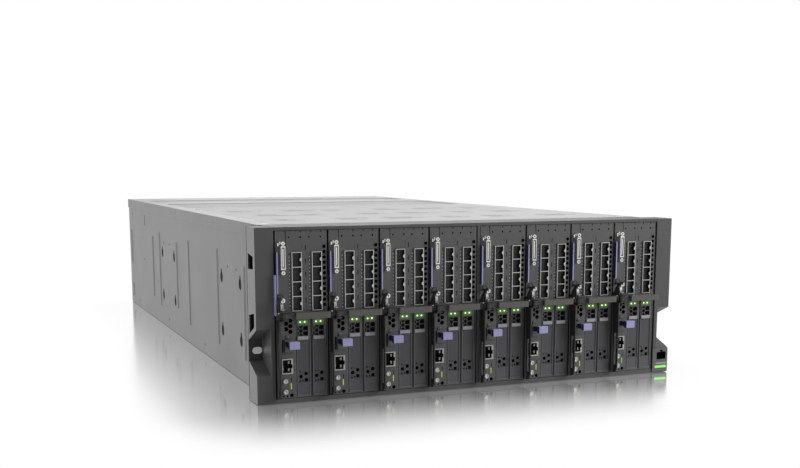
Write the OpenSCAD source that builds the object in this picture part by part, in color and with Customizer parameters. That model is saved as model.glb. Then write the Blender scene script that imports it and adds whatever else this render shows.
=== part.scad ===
// Blade server chassis: eight upright blades in a rack enclosure of four height units.
// X runs to the right, Y to the rear and Z up. The origin lies on the underside, midway
// between the ears, level with the rear faces of the rack flanges, which meet the rack's posts.

/* [Blade front] */
// Width of the control strip at the left of a blade
control_w = 19.8; // [19:0.1:30]
// Width of a drive carrier
drive_w = 14.5; // [12.5:0.1:20]
// Height of a drive carrier
drive_h = 78; // [76:0.5:95]
// Depth of a drive carrier
drive_d = 100; // [85:1:160]
// Space between the two drive carriers
drive_space = 2; // [1.6:0.1:6]
// Height of the ejector lever
lever_h = 6; // [5:0.1:10]
// Width of a transceiver port
port_w = 9; // [7:0.1:10]
// Height of a transceiver port
port_h = 13.65; // [11:0.05:16]
// Bar between two ports, one above the other
port_bar = 0.8; // [0.6:0.05:4]
// Number of ports in a column
port_rows = 4; // [3:1:5]
// Height of the blade's face above the ports
header_h = 21.55; // [20:0.05:40]

/* [Blade body] */
// Depth of a blade behind its face
blade_d = 470; // [420:1:560]
// Thickness of a blade's sheet steel
blade_t = 1; // [0.8:0.1:1.4]
// How far the ejector lever opens, in degrees
lever_swing = 75; // [45:1:80]
// Travel of the release slider
slider_travel = 4; // [2:0.5:5]

/* [Enclosure] */
// Thickness of the enclosure's sheet steel
sheet = 1.2; // [0.8:0.1:1.6]
// Depth of the enclosure behind the midplane
rear_d = 419.2; // [360:0.1:560]
// Height of the sill below the blades
sill_h = 4.5; // [3.5:0.1:12]
// Height of the rail above the blades
head_rail_h = 3.2; // [2.5:0.1:12]
// Width of the post between the two halves of the front
post_w = 3; // [2:0.1:10]
// Depth of the front frame's bars
frame_d = 3; // [2:0.1:6]
// How far an ear reaches past the side wall
ear_reach = 17.8; // [16:0.1:24]
// Depth of an ear, from its face to the rack's post
ear_d = 32; // [28:0.5:45]
// Thickness of an ear's wall
ear_t = 2; // [1.5:0.1:3]
// Thickness of a rack flange
flange_t = 2; // [1.5:0.1:3]
// How far a cover's skirt reaches down the side wall
skirt_h = 14; // [8:0.5:25]

/* [Rack slots] */
// Height of the rack slots above the underside
slot_z = 50; // [45:0.5:60]
// Width of a rack slot
slot_w = 7.2; // [6.5:0.1:8]
// Length of a rack slot
slot_l = 10.3; // [9:0.1:12]
// Distance from the side wall to a rack slot's centre
slot_reach = 9.05; // [8.5:0.05:12]

/* [Rear modules] */
// Width of a power supply
supply_w = 105; // [80:1:130]
// Height of a power supply
supply_h = 82; // [60:1:95]
// Depth of a power supply
supply_d = 240; // [180:1:260]
// Side of a square fan frame
fan_size = 80; // [60:1:84]
// Depth of a fan frame
fan_d = 38; // [25:1:56]
// Number of fans
fan_count = 5; // [3:1:5]

/* [Hidden] */
$fn = 48;
eps = 0.01;
bay_count = 8;
fit = 0.3;
// Clearance between a blade and the runners below it
run_gap = 0.2;
divider_t = 0.8;
side_gap = 1.2;
blade_x = 0.6;
blade_w = control_w + blade_x + 2 * drive_w + drive_space + 0.5 + blade_t;
bay_pitch = blade_w + blade_x + divider_t + 2 * fit;
half_in = (bay_count * bay_pitch + post_w) / 2 + side_gap;
half_out = half_in + sheet;
half_skirt = half_out + sheet;
half_ear = half_out + ear_reach;

// Heights of the blade's zones, from the underside of the enclosure
blade_z = sill_h + 0.5;
drive_z = blade_z + blade_t;
drive_top = drive_z + drive_h;
lever_z = drive_top + 1.5;
lever_top = lever_z + lever_h;
port_z = lever_top + 1.5;
port_pitch = port_h + port_bar;
port_top = port_z + port_rows * port_pitch - port_bar;
blade_top = port_top + header_h;
blade_h = blade_top - blade_z;
head_rail_z = blade_top + 0.5;
chassis_h = head_rail_z + head_rail_h;
cover_z = chassis_h - sheet;

// Places along the depth, from the front face of the ears
plug_d = 6;
midplane_t = 3;
midplane_d = blade_d + 2 * plug_d + fit;
chassis_d = midplane_d + midplane_t + rear_d;
apron_d = 50;
cover_seam_d = midplane_d - 2;
fan_y = midplane_d + 55;

// Places across the blade, from the left edge of its bay
blade_right = blade_x + blade_w;
strip_right = blade_x + control_w;
drive_a_x = strip_right + 0.6;
drive_b_x = drive_a_x + drive_w + drive_space;
port_b_x = blade_right - 11 - port_w / 2;
port_a_x = port_b_x - 20.7;
PORT_COLUMNS = [port_a_x, port_b_x];
cage_t = 0.7;
vent_x = blade_right - 2.9;
jack = [11.3, 15.6];
jack_x = 5.3;
jack_z = blade_z + 24.5;
jack_depth = 14;
jack_hole = [8.6, 13];
jack_rim = 0.7;
slider_z = blade_z + 45.8;
slider_h = 13.5;
pivot = [8, -6];
pin_r = 1.2;
pin_fit = 0.1;
hub_r = 3;
lever_front = -12;

// Places on the enclosure's sides: ribs as [place, bottom, top], and keyholes for the rails
hole_r = 6.4;
hole_neck_r = 2.3;
hole_rise = 7.6;
HOLE_HEIGHTS = [44, 106.5];
FRONT_RIBS = [[113, 24, 130], [240, 23, 139.5]];
MIDDLE_RIBS = [[-75, 23, 138], [6, 35.5, 130]];
REAR_RIBS = [[-286, 24.5, 136.5], [-227, 32, 127.5], [-23, 68, 126], [-23, 11, 35.5]];
FRONT_HOLES = [132, 219.5];
MIDDLE_HOLES = [26.5, 115.5];
rib_w = 5;
rib_t = 1.2;

function bay_x(i) = (i - 1 - bay_count / 2) * bay_pitch + (i > bay_count / 2 ? 1 : -1) * post_w / 2;

BLADE_NODES = [
    for (i = [1:bay_count])
        for (piece = ["housing", "face_fittings", "drive_a", "drive_b", "lever", "slider"])
            str("blade_", i, "_", piece)
];
CHASSIS_NODES = ["chassis_tray", "front_frame", "left_ear", "right_ear", "front_cover", "rear_cover",
    "bay_guides", "midplane", "fan_row", "rear_panel", "power_supply_1", "power_supply_2"];

// Small shapes

// A block given by its low corner and its high corner
module block(low, high) {
    translate(low) cube(high - low);
}

// A rod along the depth, from one depth to another
module rod(x, z, r, front, back, sides = 48) {
    translate([x, back, z]) rotate([90, 0, 0]) cylinder(r = r, h = back - front, $fn = sides);
}

// A slot with round ends along X, cut through along the depth
module oval(x, z, length, width, front, back) {
    reach = (length - width) / 2;
    rod(x - reach, z, width / 2, front, back);
    rod(x + reach, z, width / 2, front, back);
    block([x - reach, front, z - width / 2], [x + reach, back, z + width / 2]);
}

// Six-sided holes in staggered rows, cut through along the depth
module hex_field(low, size, r, pitch, front, back) {
    rise = pitch * sqrt(3) / 2;
    rows = floor((size[1] - 2 * r) / rise);
    columns = floor((size[0] - 2 * r) / pitch);
    x0 = low[0] + (size[0] - columns * pitch) / 2;
    z0 = low[1] + (size[1] - rows * rise) / 2;
    translate([0, back, 0]) rotate([90, 0, 0]) linear_extrude(back - front)
        for (row = [0:rows])
            for (column = [0:columns - row % 2])
                translate([x0 + column * pitch + (row % 2) * pitch / 2, z0 + row * rise])
                    rotate(30) circle(r = r, $fn = 6);
}

// A six-sided hole that stands on a corner, cut through along the depth
module hex_hole(x, z, r, front, back) {
    translate([x, back, z]) rotate([90, 0, 0]) rotate(30) cylinder(r = r, h = back - front, $fn = 6);
}

// A six-sided ring held by six spokes, drawn flat for a grille
module hex_web(r, reach, bar) {
    difference() {
        circle(r = r, $fn = 6);
        circle(r = r - bar, $fn = 6);
    }
    for (k = [0:5])
        rotate(k * 60) translate([r - bar / 2, -bar / 2]) square([reach, bar]);
}

// Blade pieces, each drawn in its own bay: X from the bay's left edge, Y from the blade's face

// Holes in the face behind the ports, vents and controls
module face_cuts() {
    through = blade_t + 1;
    rim = cage_t + fit;
    for (x = PORT_COLUMNS)
        block([x - rim, -1, port_z - rim], [x + port_w + rim, through, port_top + rim]);
    vent_pitch = (port_top - port_z + 1) / 11;
    for (k = [0:11])
        hex_hole(vent_x, port_z + 4.5 + k * vent_pitch, 2, -1, through);
    // Pin holes and notches of the header
    for (x = [14.3, 26.2, 35, 47])
        rod(x, blade_top - 6.3, 0.9, -1, through, 16);
    for (x = [10.2, 25.8, 36.6, 46.6])
        block([x, -1, blade_top - 1.9], [x + 1.1, blade_t * 0.6, blade_top + 1]);
    for (k = [0:port_rows])
        block([port_a_x + port_w + 4.6, -1, port_z + 7 + k * port_pitch * 0.9],
              [port_a_x + port_w + 5.4, through, port_z + 12 + k * port_pitch * 0.9]);
    block([10.8, -1, blade_top - 14.5], [11.4, through, blade_top - blade_t - 0.5]);
    for (hole = [[14.6, -12], [14.6, -6.5], [14.6, -1], [10.2, -9.3], [10.2, -3.8]])
        rod(hole[0], drive_top + hole[1], 2.4, -1, through, 6);
    block([6, -1, slider_z + 0.4], [7, through, slider_z + slider_h]);
    block([9.4, -1, slider_z + 0.4 - slider_travel + 4], [11.6, through, slider_z + slider_h - 1]);
    block([jack_x - fit, -1, jack_z - fit], [jack_x + jack[0] + fit, through, jack_z + jack[1] + fit]);
    block([14.6, -1, blade_z + 16], [15.4, through, blade_z + 20]);
    block([14, -1, blade_z + 9], [15.5, through, blade_z + 15]);
    rod(6.3, blade_z + 1.9, 0.9, -1, through, 16);
    rod(10.5, blade_z + 1.9, 0.9, -1, through, 16);
    rod(15.1, blade_z + 2.6, 1.9, -1, through, 24);
}

// The upright plate in front of the control strip, with a long slot and a round foot
module guard_plate() {
    foot_r = 8;
    front = -12;
    translate([blade_x + blade_t, 0, 0]) rotate([90, 0, -90]) linear_extrude(blade_t)
        difference() {
            union() {
                translate([0, blade_z + foot_r]) square([-front, drive_top - blade_z - foot_r]);
                translate([0, blade_z]) square([-front - foot_r, foot_r + eps]);
                translate([-front - foot_r, blade_z + foot_r]) circle(r = foot_r);
            }
            translate([5, blade_z + 9]) square([3.4, 36]);
        }
}

// The cage that the two drives slide into: walls, ceiling, partition and back
module drive_cage() {
    back = drive_d + 2;
    ceiling = drive_top + 0.4;
    partition_x = drive_a_x + drive_w + (drive_space - 0.8) / 2;
    block([strip_right - 0.6, blade_t / 2, blade_z], [strip_right, back + 1.6, ceiling + 0.8]);
    block([strip_right - 0.6, blade_t / 2, ceiling], [blade_right - eps, back + 1.6, ceiling + 0.8]);
    block([partition_x, blade_t / 2, blade_z], [partition_x + 0.8, back, ceiling + eps]);
    block([strip_right - 0.6, back, blade_z], [blade_right - eps, back + 1.6, ceiling + 0.8]);
}

module blade_housing() {
    inner = [blade_w - 2 * blade_t, blade_d - 2 * blade_t, blade_h - 2 * blade_t];
    color([0.36, 0.36, 0.37]) {
        difference() {
            union() {
                difference() {
                    translate([blade_x, 0, blade_z]) cube([blade_w, blade_d, blade_h]);
                    translate([blade_x + blade_t, blade_t, blade_z + blade_t]) cube(inner);
                }
                drive_cage();
                guard_plate();
                block([15, blade_d - 1, 60], [40, blade_d + plug_d, 110]);
            }
            face_cuts();
            block([strip_right, -1, drive_z], [blade_right - blade_t, blade_t * 0.45, drive_top + 0.4]);
            block([strip_right, -1, drive_z], [drive_a_x + drive_w + (drive_space - 0.8) / 2,
                                               drive_d + 2, drive_top + 0.4]);
            block([drive_b_x - (drive_space - 0.8) / 2, -1, drive_z],
                  [blade_right - blade_t, drive_d + 2, drive_top + 0.4]);
            // Air outlets in the rear wall
            for (z = [[20, 50], [118, 160]])
                block([10, blade_d - blade_t - 1, z[0]], [blade_right - 10, blade_d + 1, z[1]]);
        }
    }
}

// A column of transceiver cages, each closed by a dust plug set back in its mouth
module port_column(x) {
    mouth = 3.6;
    front = -2;
    difference() {
        block([x - cage_t, front, port_z - cage_t], [x + port_w + cage_t, 22, port_top + cage_t]);
        for (k = [0:port_rows - 1])
            difference() {
                block([x, front - 1, port_z + k * port_pitch],
                      [x + port_w, front + mouth, port_z + k * port_pitch + port_h]);
                rod(x + port_w + 0.3, port_z + k * port_pitch + port_h / 2, 1.9, front - 2, front + mouth + 1);
            }
    }
}

// The jack: a framed socket turned on its side, with its latch notch to the right
module network_jack() {
    hole_x = jack_x + jack_rim;
    hole_z = jack_z + (jack[1] - jack_hole[1]) / 2;
    difference() {
        block([jack_x, -1, jack_z], [jack_x + jack[0], jack_depth, jack_z + jack[1]]);
        block([hole_x, -2, hole_z], [hole_x + jack_hole[0], 12, hole_z + jack_hole[1]]);
        block([hole_x, -2, jack_z + jack[1] / 2 - 2], [hole_x + jack_hole[0] + 1.4, 9, jack_z + jack[1] / 2 + 2]);
    }
}

// The tall connector near the upper left corner, between its two screw posts
module cable_connector() {
    top = blade_top - 14.5;
    bottom = top - 23;
    difference() {
        block([4.8, -5.5, bottom], [9.3, 0, top]);
        block([5.5, -6.5, bottom + 1.2], [8.6, -3.5, top - 1.2]);
    }
    block([6.5, -5, bottom + 2.6], [7.6, -3.5 + eps, top - 2.6]);
    for (z = [bottom - 3.2, top + 2.6])
        difference() {
            rod(7, z, 2.1, -5.5, 0, 6);
            rod(7, z, 1, -6, -2, 16);
        }
}

// The claw that leans forward over the lever: a curved plate that tapers to its tip, with a pointed cam
module claw() {
    steps = 12;
    centre = [-22, lever_top - 3.5];
    turn = 70;
    function arc(k, r) = [-centre[0] - r * cos(12 + k * turn / steps), centre[1] + r * sin(12 + k * turn / steps)];
    outer = [for (k = [0:steps]) arc(k, 21)];
    inner = [for (k = [steps:-1:0]) arc(k, 15 + 4 * k / steps)];
    translate([1.7, 0, 0]) rotate([90, 0, -90]) linear_extrude(1.5) polygon(concat(outer, inner));
    block([0.2, -8, lever_top + 0.6], [1.7, 0, lever_top + 3.4]);
    // The cam, pointed above and below
    translate([4.5, 0, 0]) rotate([90, 0, -90]) linear_extrude(2.8 + eps)
        translate([9.5, lever_top + 6.2])
            intersection() {
                translate([4.9, 0]) circle(r = 7.4);
                translate([-4.9, 0]) circle(r = 7.4);
            }
}

// The ejector's fixed half: bracket, lugs, pivot pin, claw and keeper
module lever_mount() {
    lug = [5, 11];
    pin_top = lever_top + 1.8;
    pin_bottom = lever_z - 1.8;
    block([2.5, -4, drive_top - 15], [7.5, 0, drive_top - 1]);
    block([lug[0], -9, pin_bottom], [lug[1], 0, lever_z - fit]);
    block([lug[0], -9, lever_top + fit], [lug[1], 0, pin_top]);
    translate([pivot[0], pivot[1], pin_bottom]) cylinder(r = pin_r, h = pin_top - pin_bottom, $fn = 24);
    block([1.7 - eps, -10, lever_top + 0.6], [7, -6, pin_top + 2]);
    rod(4.8, lever_top + 2.9, 1.9, -13, -9);
    block([6.6, -12, lever_top + 1], [12.6, -8.5, lever_top + 2.8]);
    claw();
}

module blade_face_fittings() {
    color("silver") {
        for (x = PORT_COLUMNS)
            port_column(x);
        network_jack();
        cable_connector();
        rod(8.5, blade_z + 17.3, 2.4, -2, 0);
        rod(8.5, blade_z + 6.6, 2.4, -2, 0);
    }
    color("dimgray") {
        lever_mount();
        // A captive screw above the cam, in the open ring of its spring
        rod(3.7, lever_top + 13.3, 1.2, -11, 0);
        rod(3.7, lever_top + 13.3, 2.2, -14, -10, 24);
        difference() {
            rod(4.4, lever_top + 15.4, 3.1, -3.4, -2.2);
            rod(4.4, lever_top + 15.4, 2.3, -4, -2);
            block([4.4, -4, lever_top + 11], [9, -2, lever_top + 14.6]);
        }
    }
    // The coloured strip beside the ports
    color([0.67, 0.66, 0.8]) block([blade_x, -3.8, lever_top + 19], [2, 0, blade_top - 20.5]);
}

// The carrier holds an upright drive; its bezel has a grille above a tall handle and one below
module drive_carrier() {
    bezel_d = 12;
    x1 = drive_w;
    panel = 0.8;
    color([0.3, 0.3, 0.31]) {
        difference() {
            union() {
                cube([drive_w, bezel_d, drive_h]);
                block([0.4, bezel_d - eps, 1.5], [x1 - 0.4, drive_d, drive_h - 4]);
            }
            // Upper grille: a window behind a six-sided ring on spokes
            difference() {
                block([0.8, -1, drive_h - 17], [x1 - 2.7, 9, drive_h - 7]);
                translate([4.7, 2.4, drive_h - 12.1]) rotate([90, 0, 0]) linear_extrude(1.6) hex_web(3, 12, 0.75);
            }
            // Two light pipes above the grille
            rod(3.8, drive_h - 3, 0.8, -1, 3, 16);
            rod(8.5, drive_h - 3, 0.8, -1, 3, 16);
            // Handle panel, set back behind its frame, with the lower grille
            block([panel + 0.2, -1, 13.4], [x1 - panel - 0.2, panel, drive_h - 20.8]);
            rod(9.5, 22.5, 2.1, -1, 9, 6);
            rod(4.1, 19.8, 2.1, -1, 9, 6);
            block([7.9, -1, 14.4], [11.4, 9, 17.8]);
            for (hole = [[3.2, 24.6, 0.9], [3.2, 15.2, 0.9], [6.1, 15.4, 0.9], [6.4, 24.4, 0.6]])
                rod(hole[0], hole[1], hole[2], -1, 9, 6);
            // The foot below the grille
            block([1.2, -1, 2], [x1 - 1.2, 0.5, 12.6]);
        }
        // Lip over the handle
        block([0.6, -1.6, drive_h - 20.6], [x1 - 3, eps, drive_h - 17.2]);
    }
}

// The lever turns on the pin and lies across the blade above the drives
module blade_lever() {
    end_r = 2.6;
    color([0.33, 0.32, 0.31]) {
        difference() {
            union() {
                translate([pivot[0], pivot[1], lever_z]) cylinder(r = hub_r, h = lever_h);
                block([pivot[0], pivot[1] - 2.6, lever_z + 0.6], [20, pivot[1] + 1, lever_top - 0.6]);
                block([17.5, lever_front, lever_z], [blade_right - end_r, lever_front + 2 * end_r, lever_top]);
                translate([blade_right - end_r, lever_front + end_r, lever_z])
                    cylinder(r = end_r, h = lever_h);
            }
            translate([pivot[0], pivot[1], lever_z - 1])
                cylinder(r = pin_r + pin_fit, h = lever_h + 2, $fn = 24);
            block([20, lever_front + 1.4, lever_z + 1.2], [blade_right - 6, lever_front + 9, lever_top - 1.2]);
            // Shallow slots along the upper edge
            for (x = [[24, 28.5], [37, 44]])
                block([x[0], lever_front + 0.9, lever_top - 0.8], [x[1], lever_front + 3, lever_top + 1]);
        }
    }
}

// The release slider: a coloured grip on a stem, with a plate that covers its slot
module blade_slider() {
    grip_z = slider_z + 5.4;
    color([0.67, 0.66, 0.8]) {
        block([8.9, -16, grip_z], [drive_a_x - 1.4, -10.5, grip_z + 7.5]);
        block([9.4, -11, grip_z + 1.2], [12.6, -1, grip_z + 6.2]);
        block([8, -1.8, slider_z], [strip_right - 2, -fit, slider_z + slider_h]);
        block([9.8, -fit - eps, slider_z + 6], [11.2, 3, slider_z + slider_h - 1.6]);
    }
}

// Enclosure pieces, drawn with Y from the front face of the ears

// The tray: floor, two side walls with half-round ribs and keyholes, and the rack flanges
module side_wall() {
    // A bead pressed outwards, round in section and at both ends
    module rib(y, low, high) {
        bead_r = (rib_w * rib_w / 4 + rib_t * rib_t) / (2 * rib_t);
        intersection() {
            block([half_out - sheet / 2, y - rib_w, low - 1], [half_out + rib_t + 1, y + rib_w, high + 1]);
            translate([half_out + rib_t - bead_r, y, 0]) {
                translate([0, 0, low + bead_r]) cylinder(r = bead_r, h = high - low - 2 * bead_r);
                translate([0, 0, low + bead_r]) sphere(r = bead_r);
                translate([0, 0, high - bead_r]) sphere(r = bead_r);
            }
        }
    }
    module keyhole(y, z) {
        translate([half_in - 1, y, z]) rotate([0, 90, 0]) cylinder(r = hole_r, h = sheet + 2);
        translate([half_in - 1, y, z + hole_rise]) rotate([0, 90, 0]) cylinder(r = hole_neck_r, h = sheet + 2);
        block([half_in - 1, y - hole_neck_r, z], [half_out + 1, y + hole_neck_r, z + hole_rise]);
    }
    difference() {
        block([half_in, frame_d, 0], [half_out, chassis_d, cover_z]);
        for (y = concat(FRONT_HOLES, [for (d = MIDDLE_HOLES) midplane_d + d]))
            for (z = HOLE_HEIGHTS)
                keyhole(y, z);
        // A shallow pressed pad
        block([half_out - sheet / 3, chassis_d - 183.5, 138], [half_out + 1, chassis_d - 154.5, 154.5]);
    }
    for (rib = FRONT_RIBS)
        rib(rib[0], rib[1], rib[2]);
    for (rib = MIDDLE_RIBS)
        rib(midplane_d + rib[0], rib[1], rib[2]);
    for (rib = REAR_RIBS)
        rib(chassis_d + rib[0], rib[1], rib[2]);
}

module rack_flange() {
    difference() {
        block([half_out - eps, ear_d - flange_t, 0], [half_ear, ear_d, chassis_h]);
        oval(half_out + slot_reach, slot_z, slot_l, slot_w, ear_d - flange_t - 1, ear_d + 1);
    }
}

module chassis_tray() {
    color([0.53, 0.53, 0.53]) {
        block([-half_out, frame_d, 0], [half_out, chassis_d, sheet]);
        for (side = [0, 1])
            mirror([side, 0, 0]) {
                side_wall();
                rack_flange();
            }
    }
}

// The frame round the bays, with the apron that the front cover meets
module front_frame() {
    half = half_in - fit;
    color([0.42, 0.42, 0.43]) {
        block([-half, 0, 0], [half, frame_d, sill_h]);
        block([-half, 0, head_rail_z], [half, frame_d, chassis_h]);
        block([-post_w / 2, 0, sill_h - eps], [post_w / 2, frame_d, head_rail_z + eps]);
        block([-half_out + fit, frame_d - eps, cover_z], [half_out - fit, apron_d, chassis_h]);
    }
}

// The pocket in an ear that gives a screwdriver room, narrower towards the rack slot
module scoop(grow) {
    front = [slot_z - 21.5, slot_z + 25.5];
    back = [slot_z - 9.5, slot_z + 11];
    depth = ear_d - flange_t;
    inner_x = half_out + 3;
    translate([inner_x - grow, 0, 0]) rotate([90, 0, 90]) linear_extrude(half_ear - inner_x + grow + 1)
        polygon([[-1, front[0] - grow], [depth + 1, back[0] - grow],
                 [depth + 1, back[1] + grow], [-1, front[1] + grow]]);
}

module ear_shell() {
    depth = ear_d - flange_t;
    inner_x = half_out + fit;
    module outline() {
        block([half_in - fit / 2, 0, 0], [half_ear, ear_t, chassis_h]);
        block([inner_x, 0, 0], [half_ear, depth, chassis_h]);
    }
    difference() {
        union() {
            difference() {
                outline();
                block([inner_x - 1, ear_t, ear_t], [half_ear - ear_t, depth + 1, chassis_h - ear_t]);
            }
            intersection() {
                outline();
                scoop(ear_t);
            }
        }
        scoop(0);
        // Two slots in the outer wall, with slanted ends
        z0 = slot_z + 27.5;
        z1 = chassis_h - 40.75;
        translate([half_ear - ear_t - 1, 0, 0]) rotate([90, 0, 90]) linear_extrude(ear_t + 2) {
            polygon([[7, z0], [ear_d - 6, z0 - 9], [ear_d - 6, z0 + 9.7], [7, z0 + 13.3]]);
            polygon([[7, z1], [ear_d - 6, z1 - 1], [ear_d - 6, z1 + 14.5], [7, z1 + 12]]);
        }
    }
}

module left_ear() {
    color([0.3, 0.3, 0.3]) mirror([1, 0, 0]) ear_shell();
}

// The right ear also holds the status box: a network socket over a light bar
module right_ear() {
    x0 = half_out + 1;
    x1 = half_ear;
    top = slot_z - 22;
    socket = [half_out + 3.2, 15, 12, 8.6];
    color([0.3, 0.3, 0.3]) {
        difference() {
            union() {
                ear_shell();
                block([half_in, -1.5, 1], [x1, eps, top]);
                block([half_in - 1, -1.5, 1], [half_in + 1, -fit, top]);
                block([x0, ear_t - eps, 3], [x1 - eps, 17, top - 1]);
            }
            block([socket[0], -3, socket[1]], [socket[0] + socket[2], 14, socket[1] + socket[3]]);
            block([socket[0] + 4, -3, socket[1]], [socket[0] + socket[2] - 4, 11, socket[1] + socket[3] + 2]);
            block([x0, -3, 5], [x1 - 1.2, -0.6, 8]);
        }
    }
}

// A cover: a top sheet with a skirt down each side wall, over the given depth
module cover_shell(front, back, skirt_front) {
    block([-half_skirt, front, cover_z], [half_skirt, back, chassis_h]);
    for (side = [0, 1])
        mirror([side, 0, 0])
            block([half_out, skirt_front, chassis_h - skirt_h], [half_skirt, back, cover_z + eps]);
}

module front_cover() {
    color([0.55, 0.55, 0.55]) cover_shell(apron_d + fit, cover_seam_d, apron_d + 25);
}

// The rear cover has two shallow raised bands across it
module rear_cover() {
    rise = 0.8;
    color([0.5, 0.5, 0.5]) {
        difference() {
            cover_shell(cover_seam_d + fit, chassis_d, cover_seam_d + fit);
            for (band = [[cover_seam_d + 12, chassis_d - 255], [chassis_d - 184, chassis_d - 104]])
                block([-half_skirt + 18, band[0], chassis_h - rise], [half_skirt - 18, band[1], chassis_h + 1]);
        }
    }
}

// Dividers between the bays, and two runners under each blade
module bay_guides() {
    back = midplane_d - fit;
    color([0.6, 0.6, 0.61]) {
        for (i = [1:bay_count - 1])
            if (i != bay_count / 2)
                block([bay_x(i) + bay_pitch - divider_t - fit, 14, sheet],
                      [bay_x(i) + bay_pitch - fit, back, cover_z]);
        block([-post_w / 2, frame_d + fit, sheet], [post_w / 2, back, cover_z]);
        for (i = [1:bay_count])
            for (x = [blade_x + 4, blade_right - 10])
                block([bay_x(i) + x, frame_d + fit, sheet], [bay_x(i) + x + 5, blade_d, blade_z - run_gap]);
    }
}

// The midplane board: a header for each blade, and windows for air
module midplane() {
    color([0.1, 0.35, 0.2]) {
        difference() {
            block([-half_in + fit, midplane_d, sheet], [half_in - fit, midplane_d + midplane_t, cover_z]);
            for (i = [1:bay_count])
                for (z = [[20, 50], [118, 160]])
                    block([bay_x(i) + 8, midplane_d - 1, z[0]],
                          [bay_x(i) + bay_pitch - 8, midplane_d + midplane_t + 1, z[1]]);
        }
        for (i = [1:bay_count])
            block([bay_x(i) + 15, blade_d + plug_d + fit, 60], [bay_x(i) + 40, midplane_d + eps, 110]);
    }
}

// One fan: a square frame with a round tunnel, and a hub with flat blades on four struts
module fan() {
    tunnel_r = fan_size / 2 - 2;
    fan_hub_r = fan_size / 5;
    difference() {
        translate([-fan_size / 2, 0, 0]) cube([fan_size, fan_d, fan_size]);
        rod(0, fan_size / 2, tunnel_r, -1, fan_d + 1);
    }
    rod(0, fan_size / 2, fan_hub_r, 3, fan_d - 3);
    translate([0, 0, fan_size / 2]) {
        for (k = [0:3])
            rotate([0, 45 + k * 90, 0]) block([0, fan_d - 6, -2], [tunnel_r + 1, fan_d - 3, 2]);
        for (k = [0:6])
            rotate([0, k * 360 / 7, 0]) rotate([35, 0, 0])
                translate([fan_hub_r - 2, 10, -11]) cube([tunnel_r - fan_hub_r, 2, 22]);
    }
}

module fan_row() {
    gap = (2 * half_in - fan_count * fan_size) / (fan_count + 1);
    color("dimgray")
        for (k = [0:fan_count - 1])
            translate([-half_in + gap + fan_size / 2 + k * (fan_size + gap), fan_y, sheet]) fan();
}

// Left edges of the two power supplies
SUPPLY_X = [-half_in + 1, half_in - 1 - supply_w];
supply_z = sheet + run_gap;

// The rear panel: one sheet over the power supplies and one between them
module rear_panel() {
    gap = 0.4;
    hole = 5.5;
    pitch = 12.5;
    front = chassis_d - sheet;
    upper_z = supply_z + supply_h + gap;
    lower = [SUPPLY_X[0] + supply_w + gap, SUPPLY_X[1] - gap];
    color([0.55, 0.55, 0.55]) {
        difference() {
            block([-half_in + fit, front, upper_z], [half_in - fit, chassis_d, cover_z]);
            hex_field([-half_in + 8, upper_z + 5], [2 * half_in - 16, cover_z - upper_z - 10],
                      hole, pitch, front - 1, chassis_d + 1);
        }
        difference() {
            block([lower[0], front, sheet], [lower[1], chassis_d, upper_z - fit]);
            hex_field([lower[0] + 8, sheet + 8], [lower[1] - lower[0] - 16, supply_h - 12],
                      hole, pitch, front - 1, chassis_d + 1);
        }
    }
}

// A power supply: a hollow case with a grille, a mains inlet and a finger recess in its rear face
module power_supply(x) {
    front = chassis_d - supply_d;
    inlet = [27, 20];
    inlet_x = supply_w - 36;
    color([0.6, 0.6, 0.6]) translate([x, 0, supply_z]) {
        difference() {
            union() {
                difference() {
                    block([0, front, 0], [supply_w, chassis_d, supply_h]);
                    block([1, front + 1, 1], [supply_w - 1, chassis_d - 2, supply_h - 1]);
                }
                block([inlet_x - 2, chassis_d - 20, 8], [inlet_x + inlet[0] + 2, chassis_d - 1, 12 + inlet[1]]);
                block([10, chassis_d - 16, 8], [48, chassis_d - 1, 26]);
            }
            block([inlet_x, chassis_d - 18, 10], [inlet_x + inlet[0], chassis_d + 1, 10 + inlet[1]]);
            block([12, chassis_d - 14, 10], [46, chassis_d + 1, 24]);
            hex_field([6, 38], [supply_w - 12, supply_h - 43], 4, 9.5, chassis_d - 3, chassis_d + 1);
        }
        for (pin = [[5, 6], [13.5, 12], [22, 6]])
            block([inlet_x + pin[0] - 1, chassis_d - 18 - eps, 10 + pin[1] - 3],
                  [inlet_x + pin[0] + 1, chassis_d - 5, 10 + pin[1] + 3]);
    }
}

module at_front() {
    translate([0, -ear_d, 0]) children();
}

module in_bay(i) {
    at_front() translate([bay_x(i), 0, 0]) children();
}

at_front() chassis_tray();
at_front() front_frame();
at_front() left_ear();
at_front() right_ear();
at_front() front_cover();
at_front() rear_cover();
at_front() bay_guides();
at_front() midplane();
at_front() fan_row();
at_front() rear_panel();
at_front() power_supply(SUPPLY_X[0]);  // power_supply_1
at_front() power_supply(SUPPLY_X[1]);  // power_supply_2
for (i = [1:bay_count]) {
    in_bay(i) blade_housing();
    in_bay(i) blade_face_fittings();
    in_bay(i) translate([drive_a_x, 0, drive_z]) drive_carrier();
    in_bay(i) translate([drive_b_x, 0, drive_z]) drive_carrier();
    in_bay(i) blade_lever();
    in_bay(i) blade_slider();
}
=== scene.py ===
"""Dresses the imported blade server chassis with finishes, softened edges, lamps, labels and small trim.

Pieces are in metres in the row frame: X to the right, Y to the rear, Z up. The blade faces stand at
FACE_Y. Places on a blade are given from its bay's left edge (u), its face (depth) and the underside (z).
"""

import math

import bmesh
import bpy
from bpy.props import FloatProperty, FloatVectorProperty, IntProperty, PointerProperty
from mathutils import Matrix, Vector


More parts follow.
